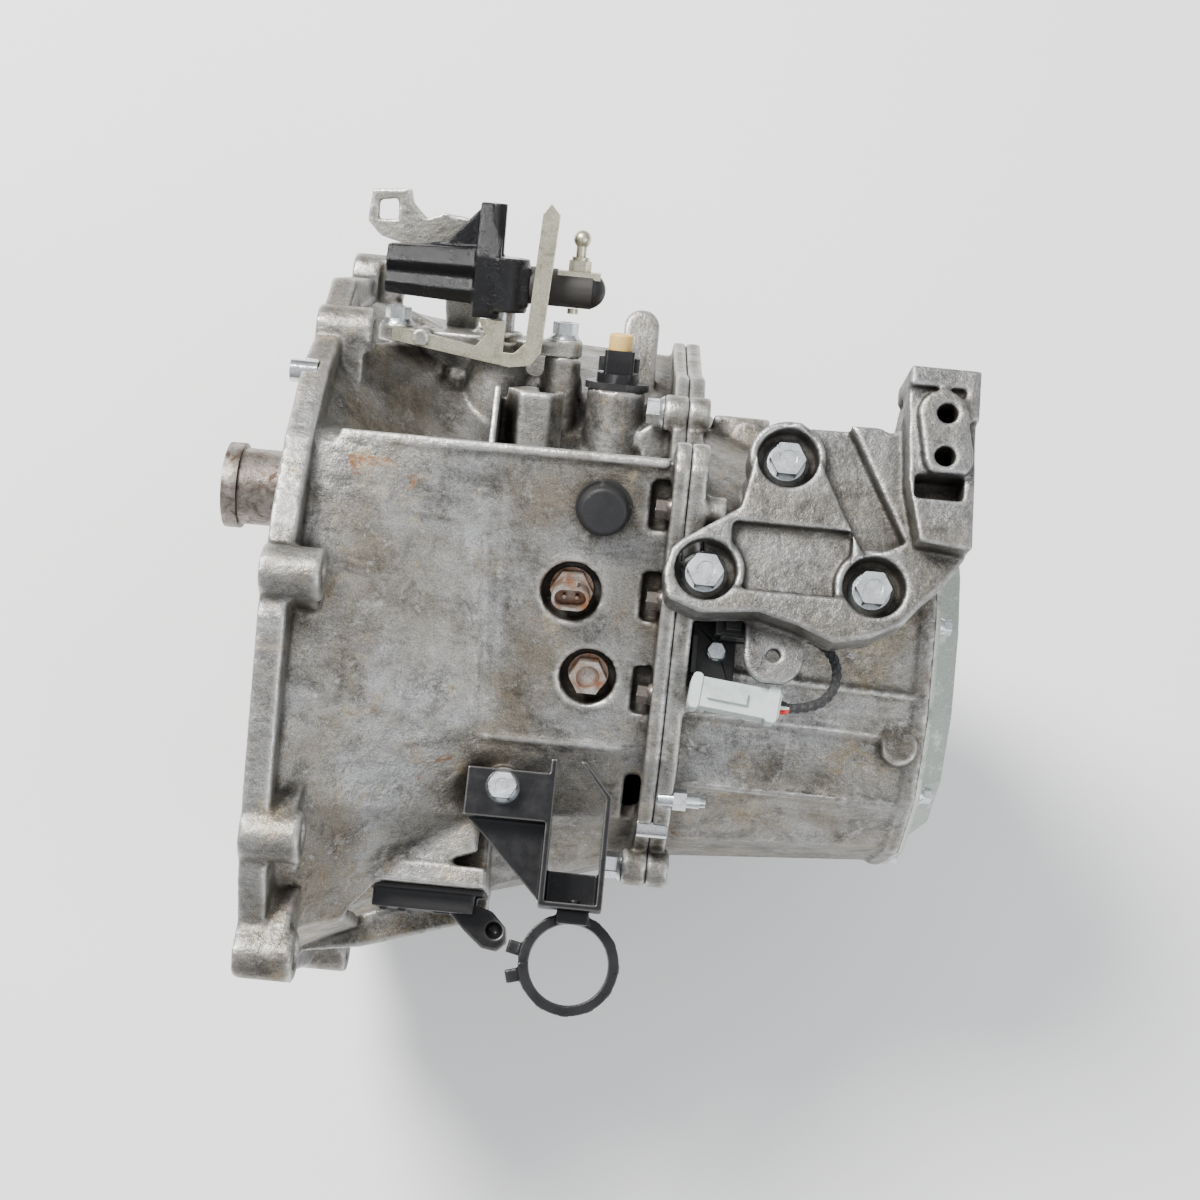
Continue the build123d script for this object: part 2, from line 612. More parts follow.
def clutch_housing_holes():
    """Every bore and threaded hole of the clutch housing."""
    front_end = FRONT_BEARING_X + BEARING_WIDTH + 1
    final_end = FINAL_LEFT_BEARING_X + BEARING_WIDTH + 1
    holes = rod(shaft_plane(INPUT_AXIS, 0), 20, BULKHEAD_FRONT - 5, FRONT_BEARING_X)
    holes = holes + rod(shaft_plane(INPUT_AXIS, 0), INPUT_BEARING[1], FRONT_BEARING_X, front_end)
    holes = holes + rod(shaft_plane(OUTPUT_AXIS, 0), OUTPUT_BEARING[1], FRONT_BEARING_X, front_end)
    holes = holes + rod(shaft_plane(OUTPUT_AXIS, 0), 18, 124, FRONT_BEARING_X)
    holes = holes + rod(shaft_plane(FINAL_AXIS, 0), 25.3, -1, FINAL_LEFT_BEARING_X)
    holes = holes + rod(shaft_plane(FINAL_AXIS, 0), FINAL_BEARING[1], FINAL_LEFT_BEARING_X, final_end)
    holes = holes + rod(shaft_plane(RAIL_AXIS, 0), 6.0, 124, 141)
    holes = holes + rod(shaft_plane(IDLER_AXIS, 0), 7.0, 124, 151)
    holes = holes + rod(tower_plane(*SELECTOR_BASE), 8.06, -56, -7)
    for dx in SELECTOR_BOLTS:
        holes = holes + rod(tower_plane(*selector_spot(dx, 0)), BOLT_R, -38, -7)
    holes = holes + rod(tower_plane(*SENSOR_BASE), 11, -20, SENSOR_LENGTH + 1)
    for spot in ENGINE_BOLTS:
        holes = holes + rod(shaft_plane(spot, 0), 6.0, -1, 31)
    for spot in ENGINE_DOWELS:
        holes = holes + rod(shaft_plane(spot, 0), DOWEL_R, -1, 8)
    for spot in JOINT_DOWELS:
        holes = holes + rod(shaft_plane(spot, 0), DOWEL_R, JOINT_X - 8, JOINT_X + 1)
    for spot in JOINT_BOLTS + REVERSED_BOLTS:
        holes = holes + rod(shaft_plane(spot, 0), BOLT_R, JOINT_X - 15, JOINT_X + 1)
    for middle_y, half in PANEL_SLOTS:
        plane = shaft_plane(slot_bolt_spot(middle_y), 0)
        holes = holes + rod(plane, BOLT_R, FLANGE_CLUTCH_SIDE - 1, JOINT_X + 1)
    for where in (CAP_SPOT, SWITCH_SPOT, LEVEL_SPOT):
        holes = holes + panel_bore(where)
    holes = holes + rod(upright(*SUPPORT_BOLT), BOLT_R, -26, 1)
    holes = holes + rod(upright(186.5, 40, -228), 9.0, -1, 12)
    holes = holes + block((78, 113), (-160, -116), (14, 46))
    holes = holes + rod(shaft_plane((FORK_PIVOT[1], FORK_Z), 0), 4.0, FORK_PIVOT[0] + 5, FORK_PIVOT[0] + 20)
    for angle in (30, 150, 270):
        spot = polar_spots(INPUT_AXIS, 24.5, [angle])[0]
        holes = holes + rod(shaft_plane(spot, 0), SMALL_R, BULKHEAD_FRONT - 5, BULKHEAD_FRONT + 6)
    for spot in EXTENSION_BOLTS:
        holes = holes + rod(shaft_plane(spot, 0), BOLT_R, -1, 22)
    return holes


# panel features: (x, y on the panel, face ring radius or 0 where there is no well, bore radius)
CAP_SPOT = (161.5, 41.0, 0.0, 8.0)
SWITCH_SPOT = (149.0, 0.0, 18.5, 15.5)
LEVEL_SPOT = (161.5, -40.0, 18.0, 14.7)
WELL_DEPTH = 10.0
SUPPORT_BOLT = (123.0, -99.0, 92.0)
EXTENSION_BOLTS = [(141.0, -100.0), (67.0, -140.0)]


def panel_point(x, y):
    """A point on the slanted panel."""
    return (x, y, PANEL_EDGE[1] - (PANEL_EDGE[0] - y) * math.tan(math.radians(TILT)))


def panel_bore(spot):
    plane = panel_plane(*panel_point(spot[0], spot[1]))
    if spot[2] == 0.0:
        return rod(plane, spot[3], -WALL - 6, 30)
    well = rod(plane, spot[3], -WELL_DEPTH, 30)
    return well + rod(plane, 9.0, -WELL_DEPTH - 12, 0)


def gear_case():
    """The casting that closes the gear space and carries the rear bearings."""
    joint = plate(JOINT_FLANGE_OUTLINE, JOINT_X, FLANGE_GEAR_SIDE, 6)
    body = loft_between(GEAR_CASE_OUTLINE, JOINT_X, REAR_OUTLINE, COVER_X)
    rim = plate(inset(REAR_OUTLINE, -3), COVER_X - 8, COVER_X)
    dome = Solid.make_cone(96, 62, 34, shaft_plane(FINAL_AXIS, JOINT_X))
    boss = rod(shaft_plane(FINAL_AXIS, 0), 58, 226, FINAL_BOSS_END)
    case = joint + body + rim + dome
    for spot in JOINT_BOLTS:
        case = case + rod(shaft_plane(spot, JOINT_X), 10, 0, 18)
    for middle_y, half in PANEL_SLOTS:
        case = case + rod(shaft_plane(slot_bolt_spot(middle_y), JOINT_X), 8, 0, 20)
    for spot in REVERSED_BOLTS:
        case = case + rod(shaft_plane(spot, JOINT_X), 10, 0, 12)
    for x, y in BRACKET_BOLTS:
        case = case + rod(upright(x, y, 0), 16, 60, BRACKET_UNDER)
    case = case + bracket_webs()
    case = case + gear_case_ribs()
    case = case & block((JOINT_X, 400), (-260, 260), (-260, 260))
    cavity = loft_between(inset(GEAR_CASE_OUTLINE, WALL), JOINT_X - 1, gear_wall_outline(), REAR_WALL_FRONT)
    fifth = loft_between(inset(REAR_OUTLINE, 9), REAR_WALL_BACK, inset(REAR_OUTLINE, 8), COVER_X + 1)
    dome_space = Solid.make_cone(88, 54, 34, shaft_plane(FINAL_AXIS, JOINT_X - 2))
    case = case - cavity - fifth - dome_space + boss
    return case - gear_case_holes()


def gear_wall_outline():
    """The inner outline of the gear space where it meets the rear wall."""
    share = (REAR_WALL_FRONT - JOINT_X) / (COVER_X - JOINT_X)
    points = []
    for (ay, az), (by, bz) in zip(GEAR_CASE_OUTLINE, REAR_OUTLINE):
        points.append((ay + (by - ay) * share, az + (bz - az) * share))
    return inset(points, WALL)


BRACKET_BOLTS = [(214.5, 10.0), (251.0, 71.0), (298.0, 9.0)]


def bracket_webs():
    """Cast walls that tie the three bracket pillars to the top of the gear case."""
    webs = None
    for index, here in enumerate(BRACKET_BOLTS):
        there = BRACKET_BOLTS[index - 1]
        a = Vector(here[0], here[1], 60)
        b = Vector(there[0], there[1], 60)
        side = Vector(a.Y - b.Y, b.X - a.X, 0).normalized() * 5
        foot = Face(Wire.make_polygon([a + side, a - side, b - side, b + side], close=True))
        wall = extrude(foot, amount=BRACKET_UNDER - 66, dir=(0, 0, 1))
        webs = wall if webs is None else webs + wall
    return webs


def gear_case_ribs():
    """Stiffening ribs, a raised panel and small cast bosses on top of the gear case."""
    ribs = None
    for y in (-30, -52, -86):
        top = 108 if y > -40 else (100 if y > -70 else 84)
        bar = block((212, 340), (y - 1.5, y + 1.5), (40, top))
        bar = bar & loft_between(inset(GEAR_CASE_OUTLINE, -2.2), JOINT_X, inset(REAR_OUTLINE, -2.0), COVER_X)
        ribs = bar if ribs is None else ribs + bar
    corner_boss = Pos(330, -56, 68) * Cylinder(10, 24)
    rear_block = block((218, 250), (96, 126), (10, 58)) + Pos(238, 114, 50) * Cylinder(9, 20)
    screw_boss = rod(upright(*BRACKET_SCREW, WIRING_Z), 7, -27, -2.4)
    foot = block((240, 300), (-40, 60), (-190, -120)) & loft_between(
        inset(GEAR_CASE_OUTLINE, -6), JOINT_X, inset(REAR_OUTLINE, -6), COVER_X
    )
    return ribs + corner_boss + rear_block + screw_boss + foot


BRACKET_SCREW = (226.0, -22.0)


def gear_case_holes():
    rear_end = REAR_BEARING_X + BEARING_WIDTH
    final_end = FINAL_RIGHT_BEARING_X + BEARING_WIDTH
    holes = rod(shaft_plane(INPUT_AXIS, 0), INPUT_BEARING[1], REAR_WALL_FRONT - 1, rear_end)
    holes = holes + rod(shaft_plane(INPUT_AXIS, 0), 22, REAR_WALL_FRONT, REAR_WALL_BACK + 1)
    holes = holes + rod(shaft_plane(OUTPUT_AXIS, 0), OUTPUT_BEARING[1], REAR_WALL_FRONT - 1, rear_end)
    holes = holes + rod(shaft_plane(OUTPUT_AXIS, 0), 24, REAR_WALL_FRONT, REAR_WALL_BACK + 1)
    holes = holes + rod(shaft_plane(RAIL_AXIS, 0), 6.0, REAR_WALL_FRONT - 1, REAR_WALL_BACK + 1)
    holes = holes + rod(shaft_plane(FINAL_AXIS, 0), 52, 200, 241.5)
    holes = holes + rod(shaft_plane(FINAL_AXIS, 0), FINAL_BEARING[1], 240, final_end)
    holes = holes + rod(shaft_plane(FINAL_AXIS, 0), 30, FINAL_RIGHT_BEARING_X, FINAL_BOSS_END + 1)
    for spot in JOINT_BOLTS:
        holes = holes + rod(shaft_plane(spot, 0), BOLT_R, JOINT_X - 1, JOINT_X + 19)
    for middle_y, half in PANEL_SLOTS:
        holes = holes + rod(shaft_plane(slot_bolt_spot(middle_y), 0), BOLT_R, JOINT_X - 1, JOINT_X + 18)
    for spot in REVERSED_BOLTS:
        holes = holes + rod(shaft_plane(spot, 0), BOLT_R, JOINT_X - 1, JOINT_X + 13)
    for spot in JOINT_DOWELS:
        holes = holes + rod(shaft_plane(spot, 0), DOWEL_R, JOINT_X - 1, JOINT_X + 8)
    for x, y in BRACKET_BOLTS:
        holes = holes + rod(upright(x, y, BRACKET_UNDER), MOUNT_BOLT_R, -24, 12)
    for spot in COVER_BOLTS:
        holes = holes + rod(shaft_plane(spot, 0), 3.0, COVER_X - 14, COVER_X + 1)
    holes = holes + rod(shaft_plane(STUD_SPOT, 0), BOLT_R, JOINT_X + 1, FLANGE_GEAR_SIDE + 1)
    holes = holes + rod(upright(*BRACKET_SCREW, WIRING_Z), SMALL_R, -13, 1)
    return holes


COVER_BOLTS = [inset(REAR_OUTLINE, 3.5)[index] for index in (1, 3, 5, 7, 9, 11, 13, 15)]
STUD_SPOT = (-96.0, 86.0)


def end_cover():
    """The pressed steel cover over fifth gear."""
    flange = plate(inset(REAR_OUTLINE, -2), COVER_X, COVER_X + COVER_THICKNESS, 4)
    outer = loft_between(inset(REAR_OUTLINE, 9), COVER_X, inset(REAR_OUTLINE, 17), COVER_X + COVER_DEPTH)
    bulge = Solid.make_cone(52, 40, 5, shaft_plane((-24, -30), COVER_X + COVER_DEPTH - 0.5))
    inner_end = COVER_X + COVER_DEPTH - COVER_THICKNESS
    inner = loft_between(inset(REAR_OUTLINE, 11.5), COVER_X - 1, inset(REAR_OUTLINE, 19.5), inner_end)
    cover = flange + outer + bulge - inner
    for spot in COVER_BOLTS:
        cover = cover - rod(shaft_plane(spot, COVER_X), 3.3, -1, COVER_THICKNESS + 1)
    return cover


# ---------------------------------------------------------------- fasteners and plugs


def case_bolts():
    """The flange bolts of the joint, the selector cover, the extension and the support bracket."""
    bolts = []
    for spot in JOINT_BOLTS:
        bolts.append(flange_bolt(shaft_plane(spot, JOINT_X + 18), 29))
    for spot in REVERSED_BOLTS:
        bolts.append(flange_bolt(engine_facing(JOINT_X - 14, spot), 24))
    for middle_y, half in PANEL_SLOTS:
        facing = engine_facing(FLANGE_CLUTCH_SIDE, slot_bolt_spot(middle_y))
        bolts.append(flange_bolt(facing, 24, SLOT_BOLT_HEX, BOLT_R, SLOT_WASHER_R))
    for dx in SELECTOR_BOLTS:
        bolts.append(flange_bolt(tower_plane(*selector_spot(dx, 2)), 36))
    bolts.append(flange_bolt(upright(SUPPORT_BOLT[0], SUPPORT_BOLT[1], SUPPORT_BOLT[2] + 3), 24))
    for spot in EXTENSION_BOLTS:
        bolts.append(flange_bolt(engine_facing(-8, spot), 24))
    bolts.append(joint_stud())
    return bolts


def small_bolt(plane):
    return flange_bolt(plane, 11, SMALL_HEX, SMALL_R, SMALL_WASHER_R)


def small_bolts():
    """The small flange bolts of the end cover, the guide tube and the connector bracket."""
    bolts = []
    for spot in COVER_BOLTS:
        bolts.append(small_bolt(shaft_plane(spot, COVER_X + COVER_THICKNESS)))
    for spot in GUIDE_SCREWS:
        bolts.append(small_bolt(engine_facing(GUIDE_X[1] - 4, spot)))
    bolts.append(small_bolt(upright(*BRACKET_SCREW, WIRING_Z)))
    return bolts


def joint_stud():
    """A short stud with its nut on the joint flange."""
    plane = shaft_plane(STUD_SPOT, FLANGE_GEAR_SIDE)
    return rod(plane, BOLT_R, -8, 14) + prism(plane, 10, 0.0, 7) + rod(plane, 3.2, 14, 17)


def oil_plugs():
    """The level plug in the panel and the drain plug underneath."""
    level = panel_plane(*panel_point(LEVEL_SPOT[0], LEVEL_SPOT[1])).offset(-WELL_DEPTH)
    body = rod(level, 9.0, -10, 0) + rod(level, 10.5, 0, 2) + prism(level, 17, 2, 12)
    body = body - rod(level, 6.2, 8, 13)
    drain = Plane(origin=(186.5, 40, -228), x_dir=(1, 0, 0), z_dir=(0, 0, -1))
    plug = rod(drain, 9.0, -11, -5) + rod(drain, 8.6, -5, -2) - prism(drain, 8, -6, -1)
    return [body, plug]


def reverse_light_switch():
    plane = panel_plane(*panel_point(SWITCH_SPOT[0], SWITCH_SPOT[1])).offset(-WELL_DEPTH)
    body = rod(plane, 9.0, -10, 0) + rod(plane, 11.2, 0, 2) + prism(plane, 19, 2, 10)
    neck = rod(plane, 7.5, 10, 12)
    socket = plane.offset(12)
    shell = extrude(socket * SlotOverall(19, 12), amount=15, dir=plane.z_dir)
    hollow = extrude(plane.offset(16) * SlotOverall(16, 9), amount=12, dir=plane.z_dir)
    pins = rod(plane.offset(0).shift_origin(plane.from_local_coords(Vector(-3.2, 0, 0))), 0.9, 15, 23)
    pins = pins + rod(plane.shift_origin(plane.from_local_coords(Vector(3.2, 0, 0))), 0.9, 15, 23)
    key = extrude(plane.offset(17) * Pos(0, 7.4) * Rectangle(6, 3.5), amount=8, dir=plane.z_dir)
    return body + neck + (shell - hollow) + pins + key


def blanking_cap():
    """A domed rubber cap in the top hole of the panel."""
    plane = panel_plane(*panel_point(CAP_SPOT[0], CAP_SPOT[1]))
    stem = rod(plane, 8.0, -9, 0.5)
    skirt = rod(plane, 12.7, 0.02, 15)
    skirt = fillet(skirt.edges().group_by(lambda e: e.center().dot(plane.z_dir))[-1], 3.0)
    lip = rod(plane, 14.2, 0.02, 3.0)
    return stem + skirt + lip


def speed_sensor():
    plane = tower_plane(*SENSOR_BASE).offset(SENSOR_LENGTH)
    body = rod(plane, 10.9, -24, 0)
    flange = extrude(plane * SlotOverall(36, 26), amount=4, dir=plane.z_dir)
    base = rod(plane, 12, 4, 9)
    neck = extrude(plane.offset(8) * RectangleRounded(17, 15, 2), amount=14, dir=plane.z_dir)
    latch = extrude(plane.offset(9) * Pos(0, 8.5) * Rectangle(8, 3), amount=10, dir=plane.z_dir)
    ears = extrude(plane.offset(10) * Rectangle(23, 6), amount=8, dir=plane.z_dir)
    return body + flange + base + neck + latch + ears


def speed_sensor_cap():
    plane = tower_plane(*SENSOR_BASE).offset(SENSOR_LENGTH + 22)
    cap = rod(plane, 6.8, 0, 9)
    top_edges = cap.edges().group_by(lambda e: e.center().dot(plane.z_dir))[-1]
    cap = fillet(top_edges, 1.2)
    return cap - rod(plane, 3.0, 7.5, 10)


def locating_dowels():
    dowels = []
    for spot in ENGINE_DOWELS:
        dowels.append(tube(shaft_plane(spot, 0), DOWEL_R, 4.5, -6, 8))
    for spot in JOINT_DOWELS:
        dowels.append(tube(shaft_plane(spot, JOINT_X), DOWEL_R, 4.5, -8, 8))
    return dowels


# ---------------------------------------------------------------- mount bracket and support bracket


BRACKET_PLAN = [
    (196, -6), (193.5, 7), (197, 20), (210, 30), (229, 43), (233, 62), (238, 79), (254, 90),
    (296, 91), (305, 86), (309, 112), (340, 112), (341, 70), (342, 28), (334, 15), (323, 4),
    (313, -9), (297, -17), (280, -21), (262, -14), (242, -9), (213, -12),
]


def mount_bracket():
    """The cast engine-mount bracket: three bolted lobes and a raised pad on an arm."""
    corners = [Vector(x, y, BRACKET_UNDER) for x, y in BRACKET_PLAN]
    base = Face(Wire.make_polygon(corners, close=True))
    base = base.fillet_2d(5, base.vertices())
    body = extrude(base, amount=BRACKET_TOP - BRACKET_UNDER, dir=(0, 0, 1))
    arm_plan = [(306, 112), (309, 60), (316, 30), (342, 28), (341, 70), (340, 112)]
    arm = plan_slab(arm_plan, BRACKET_TOP - 2, PAD_TOP - 6)
    pad_face = Plane((325, 83.5, BRACKET_TOP)) * Rot(0, 0, 100) * SlotOverall(46, 24)
    pad = extrude(pad_face, amount=PAD_TOP - BRACKET_TOP, dir=(0, 0, 1))
    lip = block((306, 341), (108, 118), (150, PAD_TOP - 1)) + block((334, 341), (92, 118), (150, PAD_TOP - 1))
    body = body + arm + pad + lip
    valley = Pos(284, 62, BRACKET_TOP + 8) * Rot(0, 0, -62) * Box(78, 22, 36)
    hollow = block((312, 336), (52, 64), (BRACKET_TOP, PAD_TOP + 2))
    under = block((262, 330), (30, 84), (BRACKET_UNDER - 1, BRACKET_UNDER + 11))
    web_cut = block((226, 286), (2, 36), (BRACKET_TOP - 7, BRACKET_TOP + 1))
    body = body - valley - hollow - under - web_cut
    for x, y in BRACKET_BOLTS:
        lobe = rod(upright(x, y, BRACKET_UNDER), 19.5, 0, BRACKET_TOP - BRACKET_UNDER - 2)
        body = body + lobe
    body = body + rod(upright(BRACKET_BOLTS[1][0], BRACKET_BOLTS[1][1], BRACKET_UNDER), 18, 0, 24)
    tab_face = upright(253, -12, BRACKET_UNDER - 2) * Pos(0, -4) * Rot(0, 0, 90) * SlotOverall(50, 30)
    tab = extrude(tab_face, amount=7, dir=(0, 0, 1))
    tab = tab & block((230, 276), (-40, 4), (100, 200))
    body = body + tab
    for x, y in BRACKET_BOLTS:
        base_plane = upright(x, y, BRACKET_UNDER)
        body = body - rod(base_plane, 5.5, -1, 40) - rod(base_plane, 15.5, 13, 40)
    for spot in PAD_HOLES:
        body = body - rod(upright(spot[0], spot[1], 0), MOUNT_HOLE_R, BRACKET_TOP - 8, PAD_TOP + 1)
    over_flange = plate(inset(JOINT_FLANGE_OUTLINE, -1.5), FLANGE_CLUTCH_SIDE - 2, FLANGE_GEAR_SIDE + 1.5)
    over_bosses = [rod(shaft_plane(slot_bolt_spot(m), JOINT_X), 9, 0, 21) for m, half in PANEL_SLOTS]
    body = body - over_flange - over_bosses
    return body - rod(upright(253, -26, 100), 3.4, 0, 80)


PAD_HOLES = [(325.0, 94.5), (325.0, 72.5)]


def mount_bracket_bolts():
    return [
        flange_bolt(upright(x, y, BRACKET_UNDER + 13), 35, MOUNT_BOLT_HEX, MOUNT_BOLT_R, 12.0)
        for x, y in BRACKET_BOLTS
    ]


def support_bracket():
    """The folded steel bracket that carries the hose clamp."""
    x, y, z = SUPPORT_BOLT
    foot = block((104, 148), (-112, -89.5), (z, z + 3)) - rod(upright(x, y, z), BOLT_R + 0.4, -1, 5)
    fin_plan = [(148, -113), (104, -113), (150, -158)]
    fin = plan_slab(fin_plan, z - 14, z - 11)
    step = block((104, 148), (-115, -112), (z - 14, z + 3))
    wall_side = [(-82, z + 3), (-82, z), (-98, z), (-119, z - 30), (-158, z - 30), (-158, z + 3)]
    left_wall = plate(wall_side, 147, 150)
    right_plan = [(162, -82), (165, -82), (180, -99), (180, -158), (177, -158), (177, -100)]
    right_wall = plan_slab(right_plan, z - 30, z + 3) & plate(wall_side, 160, 182)
    end_wall = block((147, 180), (-158, -155), (z - 30, z + 3))
    floor = block((147, 180), (-158, -138), (z - 30, z - 27))
    body = foot + step + fin + left_wall + right_wall + end_wall + floor
    return body - rod(clamp_peg_plane(), 3.0, -10, 10)


def clamp_peg_plane():
    """Where the clamp's peg goes through the end wall of the support bracket."""
    return Plane(origin=(CLAMP_CENTRE[0], -158, SUPPORT_BOLT[2] - 20), x_dir=(1, 0, 0), z_dir=(0, 1, 0))


def hose_clamp():
    """The plastic hose clamp: a ring with stiffening rims, clip lugs and a stub to the bracket."""
    plane = upright(CLAMP_CENTRE[0], CLAMP_CENTRE[1], SUPPORT_BOLT[2] - 38)
    ring = tube(plane, CLAMP_OUTER_R - 1.5, CLAMP_INNER_R, 0, 16)
    rims = tube(plane, CLAMP_OUTER_R, CLAMP_INNER_R, 0, 2.5)
    rims = rims + tube(plane, CLAMP_OUTER_R, CLAMP_INNER_R, 13.5, 16)
    ring = ring + rims
    for angle in (168, 196):
        lug = plane * Rot(0, 0, angle) * Pos(CLAMP_OUTER_R + 2.5, 0, 8) * Box(9, 7, 13)
        ring = ring + lug
    for angle in range(-150, 150, 30):
        ring = ring + plane * Rot(0, 0, angle) * Pos(CLAMP_OUTER_R - 1, 0, 8) * Box(2.6, 4, 14)
    neck = block((157, 174), (-165, -158.02), (SUPPORT_BOLT[2] - 38, SUPPORT_BOLT[2] - 14))
    ring = ring + neck + rod(clamp_peg_plane(), 3.0, -2, 6)
    ring = ring - rod(plane, CLAMP_INNER_R, -1, 17)
    split = plane * Rot(0, 0, 182) * Pos(CLAMP_OUTER_R, 0, 8) * Box(16, 1.2, 20)
    return ring - split


# ---------------------------------------------------------------- wiring


def connector_bracket():
    """The pressed plate under the sensor plug and the connector, with its turned-up tabs."""
    x, y = BRACKET_SCREW
    base = block((213.6, 236), (-36, -6.5), (WIRING_Z - 2.4, WIRING_Z))
    base = base + block((230, 244), (-16, -6.5), (WIRING_Z - 2.4, WIRING_Z))
    base = base + block((224.5, 236), (-46, -30), (WIRING_Z - 2.4, WIRING_Z))
    tabs = block((224.5, 236), (-46, -43.6), (WIRING_Z - 1, WIRING_Z + 9))
    tabs = tabs + block((213.6, 216), (-34, -14), (WIRING_Z - 1, WIRING_Z + 4))
    return base + tabs - rod(upright(x, y, WIRING_Z), SMALL_R + 0.3, -5, 5)


def sensor_plug():
    body = block((224, 243), (-15, -3), (WIRING_Z, WIRING_Z + 16)) + block((227, 240), (-16, -14), (121, 131))
    lock = block((229, 237), (-13, -5), (WIRING_Z + 16, WIRING_Z + 19))
    return body + lock


LOOM_POINTS = [
    (243.8, -9, 126), (258, -10, 128.5), (276.5, -13, 131), (287, -23.5, 133),
    (287, -38.5, 133), (276.5, -49, 133), (264, -50, 133),
]


def loom_path():
    """The braided sleeve as straight runs joined by tangent arcs."""
    points = [Vector(*p) for p in LOOM_POINTS]
    radii = []
    for index in range(1, len(points) - 1):
        before = points[index] - points[index - 1]
        after = points[index + 1] - points[index]
        half_turn = math.radians(before.get_angle(after)) / 2
        radii.append(0.45 * min(before.length, after.length) / math.tan(half_turn))
    print("loom radii", [round(r, 1) for r in radii])
    return FilletPolyline(*[tuple(p) for p in points], radius=radii)


def swept_tube(path, radius):
    start = path @ 0
    direction = path % 0
    return sweep(Plane(origin=start, z_dir=direction) * Circle(radius), path=path)


def sensor_loom(path):
    """The braided sleeve and the three wires between its end and the connector."""
    sleeve = swept_tube(path, LOOM_R)
    share = sleeve.volume / (math.pi * LOOM_R ** 2 * path.length)
    print("loom length", round(path.length, 1), "volume share", round(share, 4))
    wires = []
    end = Vector(*LOOM_POINTS[-1])
    for side in (-1, 0, 1):
        start = end + Vector(-0.5, side * WIRE_PITCH, 0)
        wires.append(rod(Plane(origin=start, x_dir=(0, 1, 0), z_dir=(-1, 0, 0)), WIRE_R, 0, WIRE_LENGTH))
    return [sleeve] + wires


def loom_connector():
    """The light sealed connector at the end of the loom."""
    frame = Plane(origin=(236, -48, 133), x_dir=(1, -0.1, 0), z_dir=(0, 0, 1))
    body = extrude(frame.offset(-7) * RectangleRounded(46, 15, 2), amount=14, dir=(0, 0, 1))
    collar = extrude(frame.offset(-8) * Pos(19, 0) * RectangleRounded(6, 18, 2), amount=16, dir=(0, 0, 1))
    lip = extrude(frame.offset(-8) * Pos(-20, 0) * RectangleRounded(5, 18, 2), amount=16, dir=(0, 0, 1))
    latch = extrude(frame.offset(7) * Pos(-4, 0) * Rectangle(20, 6), amount=2.2, dir=(0, 0, 1))
    return body + collar + lip + latch


# ---------------------------------------------------------------- selector mechanism


def selector_side(depth):
    """A plane through the selector: local x along X, local y along the shaft, facing outward."""
    return panel_plane(*SELECTOR_BASE).offset(depth)


def side_plate(points, depth_a, depth_b):
    """A plate square to the outward direction, from one depth to another."""
    plane = selector_side(depth_a)
    face = plane * make_face(Polyline(*points, close=True))
    return extrude(face, amount=depth_b - depth_a, dir=plane.z_dir)


def selector_housing():
    """The bolted base plate of the selector with the neck its shaft turns in."""
    plane = tower_plane(*SELECTOR_BASE)
    bar = extrude(plane.offset(-8) * Pos(-10.5, 0) * SlotOverall(116, 20), amount=8, dir=plane.z_dir)
    disc = rod(plane, 15, -8, -2)
    seats = rod(tower_plane(*selector_spot(SELECTOR_BOLTS[0], 0)), 10, 0, 2)
    seats = seats + rod(tower_plane(*selector_spot(SELECTOR_BOLTS[1], 0)), 10, 0, 2)
    neck = rod(plane, 13, 0, 3)
    foot = side_plate([(-34, -6), (-16, -6), (-16, 0), (-34, 0)], -34, -6)
    body = bar + disc + seats + neck + foot - rod(plane, 8.06, -9, 9)
    for dx in SELECTOR_BOLTS:
        body = body - rod(tower_plane(*selector_spot(dx, 0)), BOLT_R + 0.3, -9, 7)
    return body + select_pin() + selector_arm()


SELECTOR_BOLTS = (-58.0, 37.0)
LEVER_PIVOT = (-42.0, -3.0)
LEVER_DEPTH = (17.0, 23.0)


def selector_pin_plane():
    """The pivot of the bent lever, facing outward."""
    origin = selector_side(0).from_local_coords(Vector(LEVER_PIVOT[0], LEVER_PIVOT[1], 0))
    return Plane(origin=origin, x_dir=(1, 0, 0), z_dir=selector_side(0).z_dir)


def select_pin():
    """The stepped and headed pivot pin of the bent lever, cast with the base plate."""
    plane = selector_pin_plane()
    return rod(plane, 3.0, 0, 25) + rod(plane, 5.0, 23.3, 25.4) + rod(plane, 5, 0, 16.7)


def select_lever():
    """The bent flat bar with its notched tab."""
    bar = [
        (-58, 2), (-58, -6), (8, -15), (20, -13), (25, -6), (29.5, 70), (24, 76), (20, 70), (16, -1),
        (10, -7), (2, -7),
    ]
    lever = side_plate(bar, LEVER_DEPTH[0], LEVER_DEPTH[1])
    tab = side_plate([(-14, -8), (4, -10), (4, 10), (-12, 10), (-6, 2)], LEVER_DEPTH[0], LEVER_DEPTH[1])
    notch_plane = selector_side(0)
    notch_spot = notch_plane.from_local_coords(Vector(-15, 5, 0))
    notch = rod(Plane(origin=notch_spot, x_dir=(1, 0, 0), z_dir=notch_plane.z_dir), 6, 10, 30)
    return lever + (tab - notch) - rod(selector_pin_plane(), 3.05, 10, 30)


def selector_shaft():
    plane = tower_plane(*SELECTOR_BASE)
    return rod(plane, 8.0, -50, 44)


